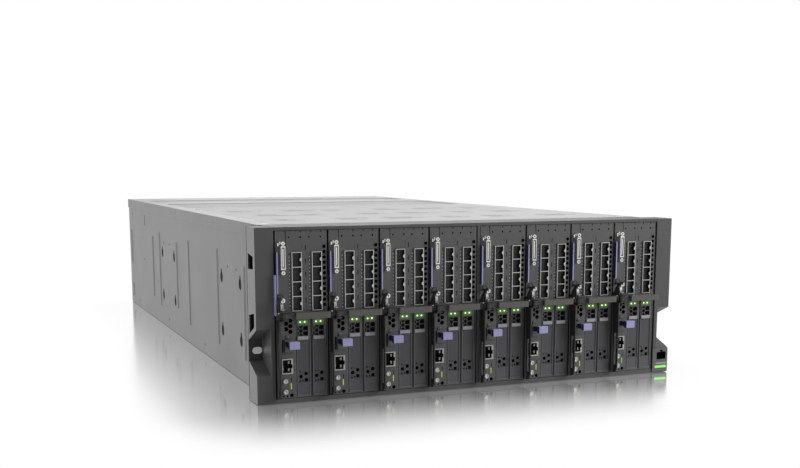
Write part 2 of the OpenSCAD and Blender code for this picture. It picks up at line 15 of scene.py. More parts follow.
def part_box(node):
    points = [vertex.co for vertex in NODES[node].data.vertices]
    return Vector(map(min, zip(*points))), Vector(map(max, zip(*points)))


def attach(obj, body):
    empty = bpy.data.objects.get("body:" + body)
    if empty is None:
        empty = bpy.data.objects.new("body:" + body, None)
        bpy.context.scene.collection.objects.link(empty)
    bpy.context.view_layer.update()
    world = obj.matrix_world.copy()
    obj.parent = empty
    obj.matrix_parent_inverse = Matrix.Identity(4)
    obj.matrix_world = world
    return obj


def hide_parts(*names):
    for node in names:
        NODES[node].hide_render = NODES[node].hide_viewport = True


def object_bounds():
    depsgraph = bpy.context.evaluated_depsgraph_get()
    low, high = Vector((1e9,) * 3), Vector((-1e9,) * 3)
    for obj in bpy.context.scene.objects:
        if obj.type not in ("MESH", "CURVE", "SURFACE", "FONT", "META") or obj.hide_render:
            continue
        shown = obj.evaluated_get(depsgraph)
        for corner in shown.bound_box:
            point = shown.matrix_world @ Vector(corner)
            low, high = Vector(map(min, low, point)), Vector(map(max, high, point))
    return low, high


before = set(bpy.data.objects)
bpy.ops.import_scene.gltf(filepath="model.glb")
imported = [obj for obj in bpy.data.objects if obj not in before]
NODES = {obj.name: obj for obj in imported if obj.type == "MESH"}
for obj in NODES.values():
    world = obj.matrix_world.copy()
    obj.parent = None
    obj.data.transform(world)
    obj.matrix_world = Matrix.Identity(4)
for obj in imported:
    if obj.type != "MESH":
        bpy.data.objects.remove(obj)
CAD_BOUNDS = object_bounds()

bl_info = {
    "name": "Blade Chassis Dressing",
    "version": (1, 1, 0),
    "blender": (4, 5, 0),
    "location": "3D View > Sidebar > Chassis",
    "description": "Finishes, lamps, labels and trim for a rack enclosure with eight server blades",
    "category": "Object",
}


def mm(value):
    """Millimetres to metres."""
    return value / 1000.0


# ---- Places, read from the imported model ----

FACE_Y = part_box("front_frame")[0][1]
TOP_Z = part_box("front_cover")[1][2]
COVER_LOW, COVER_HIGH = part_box("front_cover")
REAR_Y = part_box("rear_cover")[1][1]
EAR_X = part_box("right_ear")[1][0]
WALL_X = COVER_HIGH[0] - mm(1.2)
BLADE_LOW, BLADE_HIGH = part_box("blade_1_housing")
BLADE_BASE, BLADE_TOP = BLADE_LOW[2], BLADE_HIGH[2]
BLADE_LEFT = mm(0.6)
BLADE_W = BLADE_HIGH[0] - BLADE_LOW[0]
LEVER_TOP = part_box("blade_1_lever")[1][2]
PORT_Z = LEVER_TOP + mm(1.5)
PORT_W, PORT_H, PORT_PITCH, PORT_ROWS = mm(9), mm(13.65), mm(14.45), 4
PORT_COLUMNS = [mm(17.3), mm(38.0)]
BAYS = range(1, sum(name.endswith("_housing") for name in NODES) + 1)
SUPPLIES = ("power_supply_1", "power_supply_2")
SIDES = ((-1, "left"), (1, "right"))
# Connectors of the midplane stand before this depth, the board behind it
BOARD_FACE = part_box("midplane")[0][1] + mm(5.5)


BAY_LEFT = {i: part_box(f"blade_{i}_housing")[0][0] - BLADE_LEFT for i in BAYS}


def bay_x(i):
    """The left edge of bay i."""
    return BAY_LEFT[i]


def on_blade(i, u, depth, z):
    """A place on blade i, from its bay's left edge, its face and the underside, in metres."""
    return Vector((bay_x(i) + u, FACE_Y + depth, z))


def blade_box(i, low, high):
    """The corners of a box on blade i, each given as (u, depth, z) in millimetres."""
    return tuple(on_blade(i, *[mm(value) for value in corner]) for corner in (low, high))


def body_of_node(node):
    """The name of the body that carries a CAD node."""
    if node.startswith("power_supply"):
        return node
    if node.startswith("blade_"):
        return "_".join(node.split("_")[:2]) if node.endswith(("housing", "fittings")) else node
    return "chassis"


def linear(hex_colour):
    """An sRGB hex value as a linear colour."""
    channels = [int(hex_colour[k : k + 2], 16) / 255 for k in (1, 3, 5)]
    return tuple(c / 12.92 if c <= 0.04045 else ((c + 0.055) / 1.055) ** 2.4 for c in channels)


# ---- Settings ----


def colour_setting(name, description, hex_colour):
    """A colour that the user can change."""
    return FloatVectorProperty(
        name=name, description=description, default=linear(hex_colour),
        subtype="COLOR", size=3, min=0, max=1,
    )


class ChassisColours(bpy.types.PropertyGroup):
    """Colours of the painted, plated and moulded parts."""

    blade: colour_setting("Blade paint", "Powder coat on the blades' faces", "#585858")
    ear: colour_setting("Ear paint", "Powder coat on the ears and the front frame", "#525252")
    sheet: colour_setting("Sheet steel", "Zinc-coated sheet of the enclosure", "#808080")
    cover: colour_setting("Cover", "Zinc-coated sheet of the covers", "#a2a2a2")
    carrier: colour_setting("Drive carrier", "Moulded plastic of the drive carriers", "#474749")
    lever: colour_setting("Lever", "Paint of the ejector levers", "#5c5b57")
    touch: colour_setting("Touch point", "Plastic of the parts that a hand pulls", "#a5a4d2")
    lamp: colour_setting("Lamp", "Glow of the light pipes", "#5c9a3c")


class ChassisTrim(bpy.types.PropertyGroup):
    """Sizes of the small trim."""

    edge: FloatProperty(
        name="Edge radius", description="Rounding of cut and moulded edges", default=mm(0.35), min=mm(0.05),
        max=mm(1), subtype="DISTANCE", unit="LENGTH", precision=5,
    )
    dimple: FloatProperty(
        name="Dimple radius", description="Radius of the contact dimples beside the ports", default=mm(0.55),
        min=mm(0.2), max=mm(1.2), subtype="DISTANCE", unit="LENGTH", precision=5,
    )
    dimples: IntProperty(name="Dimples", description="Contact dimples in a column", default=15, min=2, max=30)
    rivet: FloatProperty(
        name="Rivet radius", description="Radius of the rivet heads on the walls", default=mm(1.6),
        min=mm(0.5), max=mm(4), subtype="DISTANCE", unit="LENGTH", precision=5,
    )


class ChassisStage(bpy.types.PropertyGroup):
    """Light levels of the stage."""

    surround: FloatProperty(name="Surround", description="Strength of the soft surround light", default=0.22)
    key: FloatProperty(name="Key light", description="Lamp at the front right", default=16.0, unit="POWER")
    side: FloatProperty(name="Side light", description="Lamp at the left", default=14.0, unit="POWER")
    top: FloatProperty(name="Top light", description="Lamp overhead", default=11.0, unit="POWER")


def colours():
    """The colour settings of the open scene."""
    return bpy.context.scene.chassis_colours


def trim():
    """The trim settings of the open scene."""
    return bpy.context.scene.chassis_trim


# ---- Finishes ----


def add(tree, kind, values=None, links=None, **settings):
    """Adds a node to a tree, with its settings, the values of its sockets and the links into them."""
    node = tree.nodes.new(kind)
    for key, value in settings.items():
        setattr(node, key, value)
    for key, value in (values or {}).items():
        node.inputs[key].default_value = value
    for key, socket in (links or {}).items():
        tree.links.new(socket, node.inputs[key])
    return node


def surface(
    name, colour, grain, pattern="grain", tint=0.05, relief=0.03, rough=0.5, rough_range=0.06, **shader
):
    """A finish whose tint, roughness and relief follow a pattern; grain is its real size in millimetres."""
    if name in bpy.data.materials:
        return bpy.data.materials[name]
    material = bpy.data.materials.new(name)
    material.use_nodes = True
    tree = material.node_tree
    tree.nodes.clear()
    place = add(tree, "ShaderNodeTexCoord").outputs["Object"]
    stretch = {"drawn_z": (1, 1, 0.03), "drawn_x": (0.03, 1, 1)}.get(pattern, (1, 1, 1))
    spot = add(tree, "ShaderNodeMapping", {"Scale": stretch}, {"Vector": place}).outputs["Vector"]
    if pattern == "spangle":
        cells = add(tree, "ShaderNodeTexVoronoi", {"Scale": 1 / mm(grain)}, {"Vector": spot})
        fine = add(tree, "ShaderNodeRGBToBW", {}, {"Color": cells.outputs["Color"]}).outputs["Val"]
    else:
        settings = {"Scale": 1 / mm(grain), "Detail": 3.0, "Roughness": 0.6}
        fine = add(tree, "ShaderNodeTexNoise", settings, {"Vector": spot}).outputs["Fac"]
    # A slow drift over the whole piece, about 90 mm wide, as handling and uneven coats leave
    drift = add(tree, "ShaderNodeTexNoise", {"Scale": 11.0, "Detail": 2.0}, {"Vector": place}).outputs["Fac"]
    both = add(tree, "ShaderNodeMath", {}, {0: fine, 1: drift}, operation="ADD").outputs[0]
    ramp = {"From Min": 0.55, "From Max": 1.45}
    share = add(tree, "ShaderNodeMapRange", ramp, {"Value": both}).outputs["Result"]
    mixed = add(tree, "ShaderNodeMix", {}, {"Factor": share}, data_type="RGBA")
    mixed.inputs["A"].default_value = (*[max(c * (1 - tint), 0) for c in colour[:3]], 1)
    mixed.inputs["B"].default_value = (*[min(c * (1 + tint), 1) for c in colour[:3]], 1)
    limits = {"To Min": max(rough - rough_range, 0.02), "To Max": min(rough + rough_range, 1)}
    roughness = add(tree, "ShaderNodeMapRange", limits, {"Value": share}).outputs["Result"]
    bump = {"Strength": 1.0, "Distance": mm(relief)}
    normal = add(tree, "ShaderNodeBump", bump, {"Height": fine}).outputs["Normal"]
    values = {key.replace("_", " ").title().replace("Ior", "IOR"): value for key, value in shader.items()}
    links = {"Base Color": mixed.outputs["Result"], "Roughness": roughness, "Normal": normal}
    bsdf = add(tree, "ShaderNodeBsdfPrincipled", values, links)
    add(tree, "ShaderNodeOutputMaterial", {}, {"Surface": bsdf.outputs["BSDF"]})
    return material


def powder_coat(name, colour):
    """Powder coat baked onto steel: satin, with a fine orange peel that breaks up its highlights."""
    return surface(name, colour, 0.9, tint=0.045, relief=0.012, rough=0.46, specular_ior_level=0.3)


def zinc_coat(name, colour, pattern, rough):
    """Hot-dip zinc on cold-rolled sheet: mid grey, with faint streaks along the way it was drawn."""
    return surface(name, colour, 2.2, pattern, 0.05, 0.004, rough, metallic=0.3)


def printed_film(name, hex_colour, grain, tint):
    """Polyester label film, or ink on it: flat and nearly matt."""
    colour = linear(hex_colour)
    return surface(name, colour, grain, tint=tint, relief=0, rough=0.6, specular_ior_level=0.2)


def plated(name, hex_colour, rough=0.34):
    """Zinc or nickel plate on a pressed part: bright but blurred, with faint drawing lines."""
    return surface(name, linear(hex_colour), 0.5, "drawn_z", 0.1, 0.004, rough, metallic=0.85)


def moulded(name, colour, rough=0.45):
    """Glass-filled plastic from a spark-eroded mould: an even fine texture and a soft sheen."""
    return surface(name, colour, 0.5, tint=0.06, relief=0.02, rough=rough, specular_ior_level=0.35)


def lit(name, hex_colour, strength):
    """A clear light pipe with a lamp behind it."""
    colour = linear(hex_colour)
    return surface(name, colour, 2, tint=0.02, relief=0, rough=0.25, emission_color=(*colour, 1),
                   emission_strength=strength)


def finish(name):
    """The finish with this name, made when it is first asked for."""
    look = colours()
    makers = {
        "blade_powder_coat": lambda: powder_coat(name, look.blade),
        "ear_powder_coat": lambda: powder_coat(name, look.ear),
        "lever_powder_coat": lambda: powder_coat(name, look.lever),
        "dark_powder_coat": lambda: powder_coat(name, linear("#303030")),
        "zinc_coated_sheet": lambda: zinc_coat(name, look.sheet, "drawn_z", 0.42),
        "zinc_coated_cover": lambda: zinc_coat(name, look.cover, "drawn_x", 0.4),
        "cover_recess": lambda: zinc_coat(name, linear("#8f8f8f"), "drawn_x", 0.45),
        # Zinc on the inner sheets, which keeps its spangle
        "spangled_zinc": lambda: surface(name, linear("#767676"), 5, "spangle", 0.1, 0.0, 0.5, metallic=0.35),
        "nickel_plate": lambda: plated(name, "#d8d8d4", 0.28),
        "tin_plate": lambda: plated(name, "#a9a9a6"),
        "dull_zinc_plate": lambda: plated(name, "#8a8a88", 0.45),
        # Phosphate-blackened steel: nearly black, with no shine to speak of; the same black paints the shade in
        # the cross recess of the lever screws
        "blackened_steel_and_recess_shade": lambda: surface(name, linear("#161616"), 0.8, tint=0.2, rough=0.5),
        # Near black where little light reaches: painted shade for the insides of the housings and carriers, the
        # jacks and the fronts of the bay guides
        "interior_painted_shade": lambda: surface(name, linear("#101010"), 0.8, tint=0.2, rough=0.7),
        "carrier_plastic": lambda: moulded(name, look.carrier),
        # The carrier plastic made much lighter for the frames on the carriers' faces: painted highlight
        # standing in for light caught on their edges
        "carrier_frame_painted_highlight": lambda: moulded(name, [min(c * 1.75, 1) for c in look.carrier]),
        "carrier_foot_plastic": lambda: moulded(name, [min(c * 1.3, 1) for c in look.carrier]),
        "release_lip_plastic": lambda: moulded(name, linear("#a3a3a6")),
        "touch_plastic": lambda: moulded(name, look.touch, 0.38),
        "touch_plastic_shaded": lambda: moulded(name, linear("#2b2b4a"), 0.5),
        "status_box_plastic": lambda: moulded(name, linear("#5d5d5d")),
        "black_plastic": lambda: moulded(name, linear("#0c0c0c"), 0.5),
        # Near-black strips beside each blade's face: painted shade that makes the gaps between the blades black
        "gap_shade_black": lambda: surface(name, linear("#050505"), 0.7, tint=0.3, relief=0.05, rough=0.9),
        "white_label_film": lambda: printed_film(name, "#e4e4e4", 2, 0.015),
        "grey_print": lambda: printed_film(name, "#a8a8a8", 3, 0.12),
        "solder_mask": lambda: surface(name, linear("#1d4a30"), 1, tint=0.1, rough=0.35),
        "gold_flash": lambda: surface(name, linear("#c9a24a"), 1, tint=0.05, rough=0.3, metallic=1.0),
        "fan_nylon": lambda: moulded(name, linear("#1a1a1a")),
        "lamp_lens": lambda: lit(name, "#e6ffc4", 1.3),
        "green_light_bar": lambda: lit(name, "#6fd24a", 0.8),
        "amber_green_lamp": lambda: lit(name, "#9cc452", 0.35),
    }
    return bpy.data.materials[name] if name in bpy.data.materials else makers[name]()


def glow_finish():
    """A translucent window over the lamps: lit where the piece's own glow attribute is high."""
    if "light_window" in bpy.data.materials:
        return bpy.data.materials["light_window"]
    material = bpy.data.materials.new("light_window")
    material.use_nodes = True
    tree = material.node_tree
    tree.nodes.clear()
    glow = add(tree, "ShaderNodeAttribute", attribute_name="glow").outputs["Fac"]
    place = add(tree, "ShaderNodeTexCoord").outputs["Object"]
    grain = add(tree, "ShaderNodeTexNoise", {"Scale": 1 / mm(0.8)}, {"Vector": place}).outputs["Fac"]
    share = add(tree, "ShaderNodeMath", {}, {0: glow, 1: grain}, operation="MULTIPLY").outputs[0]
    share = add(tree, "ShaderNodeMapRange", {"From Max": 0.55}, {"Value": share}).outputs["Result"]
    mixed = add(tree, "ShaderNodeMix", {}, {"Factor": share}, data_type="RGBA")
    mixed.inputs["A"].default_value = (*linear("#26301f"), 1)
    mixed.inputs["B"].default_value = (*colours().lamp, 1)
    links = {"Base Color": mixed.outputs["Result"], "Emission Color": mixed.outputs["Result"]}
    bsdf = add(tree, "ShaderNodeBsdfPrincipled", {"Roughness": 0.4, "Emission Strength": 0.35}, links)
    add(tree, "ShaderNodeOutputMaterial", {}, {"Surface": bsdf.outputs["BSDF"]})
    return material


# ---- Meshes ----


def to_object(bm, name, material, smooth=False):
    """Turns a bmesh into an object at the origin, with its faces pointing outwards."""
    bmesh.ops.recalc_face_normals(bm, faces=bm.faces)
    mesh = bpy.data.meshes.new(name)
    bm.to_mesh(mesh)
    bm.free()
    mesh.materials.append(material)
    for polygon in mesh.polygons:
        polygon.use_smooth = smooth
    piece = bpy.data.objects.new(name, mesh)
    bpy.context.scene.collection.objects.link(piece)
    return piece


def flatten(piece):
    """Makes what a piece's modifiers show into its own mesh, and removes them."""
    depsgraph = bpy.context.evaluated_depsgraph_get()
    mesh = bpy.data.meshes.new_from_object(piece.evaluated_get(depsgraph), depsgraph=depsgraph)
    piece.modifiers.clear()
    piece.data = mesh


def add_block(bm, low, high, round_by=0.0):
    """Adds a block between two corners, with rounded edges."""
    low, high = Vector(low), Vector(high)
    made = bmesh.ops.create_cube(bm, size=1.0)
    place = Matrix.Translation((low + high) / 2) @ Matrix.Diagonal((*(high - low), 1.0))
    bmesh.ops.transform(bm, matrix=place, verts=made["verts"])
    if round_by:
        edges = list({edge for vert in made["verts"] for edge in vert.link_edges})
        bmesh.ops.bevel(bm, geom=edges, offset=round_by, segments=2, profile=0.5, affect="EDGES")


def add_turned(bm, profile, sides):
    """Adds a turned shape at the origin; profile lists its radius and depth from front to back."""
    rings = []
    for radius, depth in profile:
        angles = [2 * math.pi * k / sides for k in range(sides)]
        rings.append([bm.verts.new((radius * math.cos(a), depth, radius * math.sin(a))) for a in angles])
    for front, back in zip(rings, rings[1:]):
        for k in range(sides):
            bm.faces.new((front[k], front[(k + 1) % sides], back[(k + 1) % sides], back[k]))
    bm.faces.new(rings[0])
    bm.faces.new(list(reversed(rings[-1])))


def blocks(name, corners, material, body, round_by=mm(0.1)):
    """One piece made of rounded blocks, each given by its low and high corner."""
    bm = bmesh.new()
    for low, high in corners:
        add_block(bm, low, high, round_by)
    piece = to_object(bm, name, finish(material))
    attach(piece, body)
    return piece


def turned_shape(profile, sides=12, axis="Y"):
    """A turned shape at the origin for repeat(), its front towards -Y, -X, +X or +Z."""
    bm = bmesh.new()
    add_turned(bm, profile, sides)
    turns = {
        "Y": Matrix(),
        "BACK": Matrix.Rotation(math.pi, 4, "Z"),
        "LEFT": Matrix.Rotation(-math.pi / 2, 4, "Z"),
        "RIGHT": Matrix.Rotation(math.pi / 2, 4, "Z"),
        "TOP": Matrix.Rotation(-math.pi / 2, 4, "X"),
    }
    bm.transform(turns[axis])
    return to_object(bm, "shape", finish("tin_plate"), smooth=True)


def block_shape(size, round_by=0.0):
    """A block centred on the origin, for repeat()."""
    bm = bmesh.new()
    half = Vector(size) / 2
    add_block(bm, -half, half, round_by)
    return to_object(bm, "shape", finish("tin_plate"))


def repeat_tree():
    """Geometry Nodes: puts one shape on every point, makes the copies real and gives them a finish."""
    if "repeat_shape" in bpy.data.node_groups:
        return bpy.data.node_groups["repeat_shape"]
    tree = bpy.data.node_groups.new("repeat_shape", "GeometryNodeTree")
    sockets = {"Points": "Geometry", "Shape": "Object", "Size": "Float", "Finish": "Material"}
    for name, kind in sockets.items():
        tree.interface.new_socket(name, in_out="INPUT", socket_type="NodeSocket" + kind)
    tree.interface.new_socket("Geometry", in_out="OUTPUT", socket_type="NodeSocketGeometry")
    given = add(tree, "NodeGroupInput").outputs
    shape = add(tree, "GeometryNodeObjectInfo", {}, {"Object": given["Shape"]}).outputs["Geometry"]
    links = {"Points": given["Points"], "Instance": shape, "Scale": given["Size"]}
    copies = add(tree, "GeometryNodeInstanceOnPoints", {}, links).outputs["Instances"]
    real = add(tree, "GeometryNodeRealizeInstances", {}, {"Geometry": copies}).outputs["Geometry"]
    done = add(tree, "GeometryNodeSetMaterial", {}, {"Geometry": real, "Material": given["Finish"]})
    add(tree, "NodeGroupOutput", {}, {"Geometry": done.outputs["Geometry"]})
    return tree


def repeat(name, shape, points, material, body, smooth=True):
    """One piece made of a shape at each of the points, by Geometry Nodes."""
    mesh = bpy.data.meshes.new(name)
    mesh.from_pydata([tuple(point) for point in points], [], [])
    piece = bpy.data.objects.new(name, mesh)
    bpy.context.scene.collection.objects.link(piece)
    modifier = piece.modifiers.new("repeat", "NODES")
    tree = repeat_tree()
    modifier.node_group = tree
    inputs = {item.name: item.identifier for item in tree.interface.items_tree if item.in_out == "INPUT"}
    modifier[inputs["Shape"]] = shape
    modifier[inputs["Size"]] = 1.0
    modifier[inputs["Finish"]] = finish(material)
    flatten(piece)
    for polygon in piece.data.polygons:
        polygon.use_smooth = smooth
    bpy.data.objects.remove(shape)
    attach(piece, body)
    return piece


def paint(piece, base, rules=()):
    """Gives each face the first finish whose test fits its centre and normal, or the base finish."""
    mesh = piece.data
    mesh.materials.clear()
    for name in [base] + [name for name, _ in rules]:
        mesh.materials.append(finish(name))
    for polygon in mesh.polygons:
        fits = (k for k, (_, test) in enumerate(rules, 1) if test(polygon.center, polygon.normal))
        polygon.material_index = next(fits, 0)


def softened(node, radius, base, rules=()):
    """A copy of a CAD node with rounded edges that takes the node's place."""
    bm = bmesh.new()
    bm.from_mesh(NODES[node].data)
    bmesh.ops.remove_doubles(bm, verts=bm.verts, dist=mm(0.002))
    bmesh.ops.dissolve_limit(bm, angle_limit=math.radians(1), verts=bm.verts, edges=bm.edges)
    piece = to_object(bm, node + "_softened", finish(base))
    bevel = piece.modifiers.new("edges", "BEVEL")
    bevel.width = radius
    bevel.segments = 2
    bevel.limit_method = "ANGLE"
    bevel.angle_limit = math.radians(35)
    flatten(piece)
    paint(piece, base, rules)
    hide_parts(node)
    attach(piece, body_of_node(node))
    return piece


def within(low, high):
    """A test for faces whose centre lies between two corners."""
    return lambda centre, normal: all(low[k] < centre[k] < high[k] for k in range(3))


def lamp_glow(x, z, lamps):
    """How strongly the lamps light a spot: a soft patch round each, a little wider than it is high."""
    return sum(math.exp(-(((x - lx) / mm(2.6)) ** 2) - ((z - lz) / mm(1.9)) ** 2) for lx, lz in lamps)


# ---- Operators ----


class CHASSIS_OT_stage(bpy.types.Operator):
    """Makes the pale polished floor, the white surround, the lamps and the camera"""

    bl_idname = "chassis.stage"
    bl_label = "Make Stage"

    def execute(self, context):
        scene = context.scene
        look = scene.chassis_stage
        scene.view_settings.view_transform = "Standard"
        self.make_surround(scene, look.surround)
        self.make_floor()
        for name, place, size, power in (
            ("key", (1.15, -0.85, 0.75), 0.9, look.key),
            ("side", (-2.3, 0.1, 0.9), 1.6, look.side),
            ("overhead", (0.0, 0.3, 2.6), 2.2, look.top),
            ("rear", (0.9, 2.6, 1.2), 1.6, look.side * 0.4),
        ):
            data = bpy.data.lights.new(name, "AREA")
            data.size = size
            data.energy = power
            lamp = bpy.data.objects.new(name, data)
            scene.collection.objects.link(lamp)
            lamp.location = place
            aim = Vector((0, 0.25, 0.08)) - Vector(place)
            lamp.rotation_euler = aim.to_track_quat("-Z", "Y").to_euler()
        data = bpy.data.cameras.new("camera")
        data.lens = 50.1
        data.sensor_width = 36
        data.shift_x = -0.007
        data.shift_y = 0.1407
        camera = bpy.data.objects.new("camera", data)
        scene.collection.objects.link(camera)
        camera.location = (-0.5158, -1.0840, 0.2380)
        camera.rotation_euler = (math.radians(90 - 9.42), 0, math.radians(-22.36))
        scene.camera = camera
        return {"FINISHED"}

    @staticmethod
    def seen(tree):
        """A factor that is one for what the camera, a mirror or a clear part shows."""
        rays = add(tree, "ShaderNodeLightPath").outputs
        seen = rays["Is Camera Ray"]
        for name in ("Is Glossy Ray", "Is Transmission Ray"):
            either = {0: seen, 1: rays[name]}
            seen = add(tree, "ShaderNodeMath", {}, either, operation="MAXIMUM").outputs[0]
        return seen

    def make_surround(self, scene, strength):
        world = bpy.data.worlds.new("surround")
        scene.world = world
        world.use_nodes = True
        tree = world.node_tree
        tree.nodes.clear()
        white = (1, 1, 1, 1)
        soft = add(tree, "ShaderNodeBackground", {"Color": white, "Strength": strength})
        shown = add(tree, "ShaderNodeBackground", {"Color": white, "Strength": 1.0})
        links = {0: self.seen(tree), 1: soft.outputs[0], 2: shown.outputs[0]}
        mixed = add(tree, "ShaderNodeMixShader", {}, links)
        add(tree, "ShaderNodeOutputWorld", {}, {"Surface": mixed.outputs[0]})

    def make_floor(self):
        """White where it is seen, with the soft shadow and the short mirror image of what stands on it."""
        material = bpy.data.materials.new("polished_white_floor")
        material.use_nodes = True
        tree = material.node_tree
        tree.nodes.clear()
        centre = (*[(CAD_BOUNDS[0][k] + CAD_BOUNDS[1][k]) / 2 for k in range(2)], 0)
        half = (WALL_X, (REAR_Y - FACE_Y) / 2, 10)
        place = add(tree, "ShaderNodeTexCoord").outputs["Object"]

        def vector(operation, first, second):
            node = add(tree, "ShaderNodeVectorMath", operation=operation)
            for socket, value in zip(node.inputs, (first, second)):
                if isinstance(value, (tuple, Vector)):
                    socket.default_value = value
                elif value is not None:
                    tree.links.new(value, socket)
            return node

        beside = vector("SUBTRACT", place, centre).outputs[0]
        beside = vector("ABSOLUTE", beside, None).outputs[0]
        beside = vector("SUBTRACT", beside, half).outputs[0]
        beside = vector("MAXIMUM", beside, (0, 0, 0)).outputs[0]
        away = vector("LENGTH", beside, None).outputs["Value"]
        fade = {"From Max": 0.2, "To Min": 0.84, "To Max": 0.0}
        share = add(tree, "ShaderNodeMapRange", fade, {"Value": away}, interpolation_type="SMOOTHSTEP")
        blur = {"From Max": 0.15, "To Min": 0.05, "To Max": 0.28}
        rough = add(tree, "ShaderNodeMapRange", blur, {"Value": away}).outputs["Result"]
        mirror = add(tree, "ShaderNodeBsdfGlossy", {"Color": (1, 1, 1, 1)}, {"Roughness": rough})
        open_sky = add(tree, "ShaderNodeAmbientOcclusion", {"Distance": 0.12}, samples=8).outputs["AO"]
        level = {"From Min": 0.3, "From Max": 0.9, "To Min": 0.62, "To Max": 1.0}
        level = add(tree, "ShaderNodeMapRange", level, {"Value": open_sky}).outputs["Result"]
        white = add(tree, "ShaderNodeEmission", {"Color": (1, 1, 1, 1)}, {"Strength": level})
        links = {0: share.outputs["Result"], 1: white.outputs[0], 2: mirror.outputs[0]}
        shown = add(tree, "ShaderNodeMixShader", {}, links)
        matt = add(tree, "ShaderNodeBsdfDiffuse", {"Color": (*linear("#c4c4c4"), 1)})
        links = {0: self.seen(tree), 1: matt.outputs[0], 2: shown.outputs[0]}
        mixed = add(tree, "ShaderNodeMixShader", {}, links)
        add(tree, "ShaderNodeOutputMaterial", {}, {"Surface": mixed.outputs[0]})
        bm = bmesh.new()
        bmesh.ops.create_grid(bm, x_segments=1, y_segments=1, size=30)
        bmesh.ops.translate(bm, verts=bm.verts, vec=(0, 0, mm(-0.5)))
        floor = to_object(bm, "floor", material)
        if floor.data.polygons[0].normal.z < 0:
            floor.data.flip_normals()


class CHASSIS_OT_enclosure(bpy.types.Operator):
    """Finishes the tray, the front frame and what the enclosure holds"""

    bl_idname = "chassis.enclosure"
    bl_label = "Dress Enclosure"

    def execute(self, context):
        edge = trim().edge
        inside = WALL_X - mm(0.6)

        def inner(centre, normal):
            deep = FACE_Y + mm(4) < centre.y < REAR_Y - mm(1)
            return deep and abs(centre.x) < inside and centre.z > mm(0.6)

        def flange(centre, normal):
            return abs(centre.x) > WALL_X + mm(1.5)

        rules = [("spangled_zinc", inner), ("dark_powder_coat", flange)]
        paint(NODES["chassis_tray"], "zinc_coated_sheet", rules)
        softened("front_frame", edge, "ear_powder_coat")
        # The bay guides' front 60 mm, between the blades, near black: painted shade
        paint(NODES["bay_guides"], "interior_painted_shade", [("spangled_zinc", lambda c, n: c.y > FACE_Y + mm(60))])
        paint(NODES["midplane"], "solder_mask", [("black_plastic", lambda c, n: c.y < BOARD_FACE)])
        paint(NODES["fan_row"], "fan_nylon")
        paint(NODES["rear_panel"], "zinc_coated_sheet")
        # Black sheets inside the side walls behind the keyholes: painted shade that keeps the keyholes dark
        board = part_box("midplane")
        shade_films = (
            ("_insulating_film", FACE_Y + mm(100), board[0][1] - mm(5)),
            ("_rear_film", board[1][1] + mm(1), REAR_Y - mm(260)),
        )
        for kind, front, back in shade_films:
            for side, name in SIDES:
                x = sorted((side * (WALL_X - mm(1.25)), side * (WALL_X - mm(1.5))))
                film = ((x[0], front, mm(30)), (x[1], back, mm(130)))
                blocks(name + kind, [film], "black_plastic", "chassis", 0)
        return {"FINISHED"}


class CHASSIS_OT_covers(bpy.types.Operator):
    """Finishes both covers and adds the bare label panel, its pale patches and the cover screws"""

    bl_idname = "chassis.covers"
    bl_label = "Dress Covers"

    def execute(self, context):
        edge = trim().edge * 2
        skirt = ("zinc_coated_sheet", lambda c, n: abs(n.x) > 0.7)

        def sunk(centre, normal):
            return normal.z > 0.9 and centre.z < TOP_Z - mm(0.4) and abs(centre.x) < WALL_X - mm(10)

        softened("front_cover", edge, "zinc_coated_cover", [skirt])
        softened("rear_cover", edge, "zinc_coated_cover", [skirt, ("cover_recess", sunk)])
        low = Vector((COVER_LOW[0] + mm(21), COVER_LOW[1] + mm(2), TOP_Z))
        high = Vector((COVER_HIGH[0] - mm(18), COVER_HIGH[1] - mm(5), TOP_Z + mm(0.12)))
        blocks("top_label", [(low, high)], "white_label_film", "chassis", mm(0.04))
        size = high - low
        patches = []
        # Plain bars of faded print: three rows, with nothing to read
        for row, depth in enumerate((0.14, 0.4, 0.66)):
            for column in range(6):
                wide = size.x * (0.07 + 0.025 * ((2 * row + column) % 3))
                x = low.x + size.x * (0.05 + 0.155 * column + 0.02 * ((row + column) % 2))
                for line in range(3):
                    y = low.y + size.y * depth + mm(13) * line
                    shorter = wide * (1 - 0.22 * ((line + column) % 3))
                    patches.append(((x, y, high.z - mm(0.02)), (x + shorter, y + mm(7), high.z + mm(0.03))))
        blocks("top_label_print", patches, "grey_print", "chassis", 0)
        head = [(mm(1.6), mm(-0.2)), (mm(2.9), mm(-0.14)), (mm(3.2), 0)]
        x = WALL_X - mm(9)
        rows = (COVER_HIGH[1] + mm(14), REAR_Y - mm(14))
        spots = [(side * x, y, TOP_Z) for side in (-1, 1) for y in rows]
        spots += [(side * x, COVER_LOW[1] + mm(12), TOP_Z) for side in (-1, 1)]
        repeat("cover_screws", turned_shape(head, 16, "TOP"), spots, "nickel_plate", "chassis")
        return {"FINISHED"}


